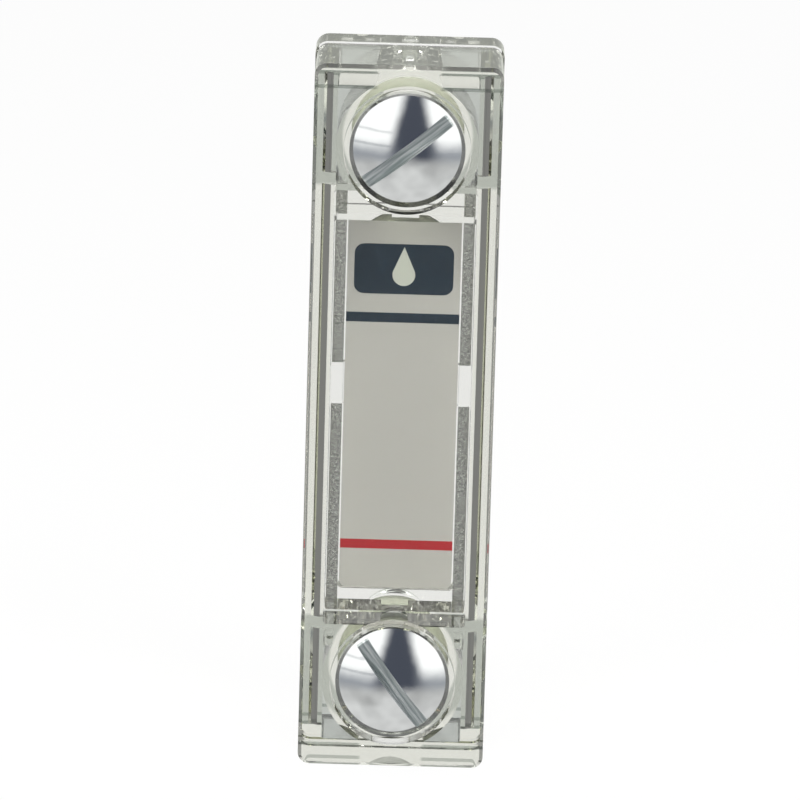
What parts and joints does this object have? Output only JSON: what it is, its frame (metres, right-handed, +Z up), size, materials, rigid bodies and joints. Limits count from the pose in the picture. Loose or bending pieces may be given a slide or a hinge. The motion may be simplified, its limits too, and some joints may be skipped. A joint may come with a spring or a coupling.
{
  "type": "tank level gauge",
  "caption": "clear plastic column level gauge for a hydraulic tank, with a printed contrast screen, two hollow slotted screws and ring seals",
  "frame": {"origin": "on the back face that sits against the tank, midway between the two screw axes", "axes": "+X right seen from the front, +Y into the tank along the screws, +Z up along the gauge"},
  "size_m": [0.0264, 0.039, 0.1004],
  "materials": {
    "clear_body": "clear transparent polyamide, faintly yellow-green, polished",
    "screen_aluminium": "satin light grey lacquered aluminium, printed",
    "plated_steel": "bright zinc plated steel",
    "seal_rubber": "pale silicone rubber"
  },
  "bodies": {
    "root": {"front_cover": "clear_body", "base": "clear_body", "contrast_screen": "screen_aluminium", "upper_screw": "plated_steel", "lower_screw": "plated_steel", "upper_head_seal": "seal_rubber", "lower_head_seal": "seal_rubber", "upper_tank_seal": "seal_rubber", "lower_tank_seal": "seal_rubber"}
  },
  "joints": []
}
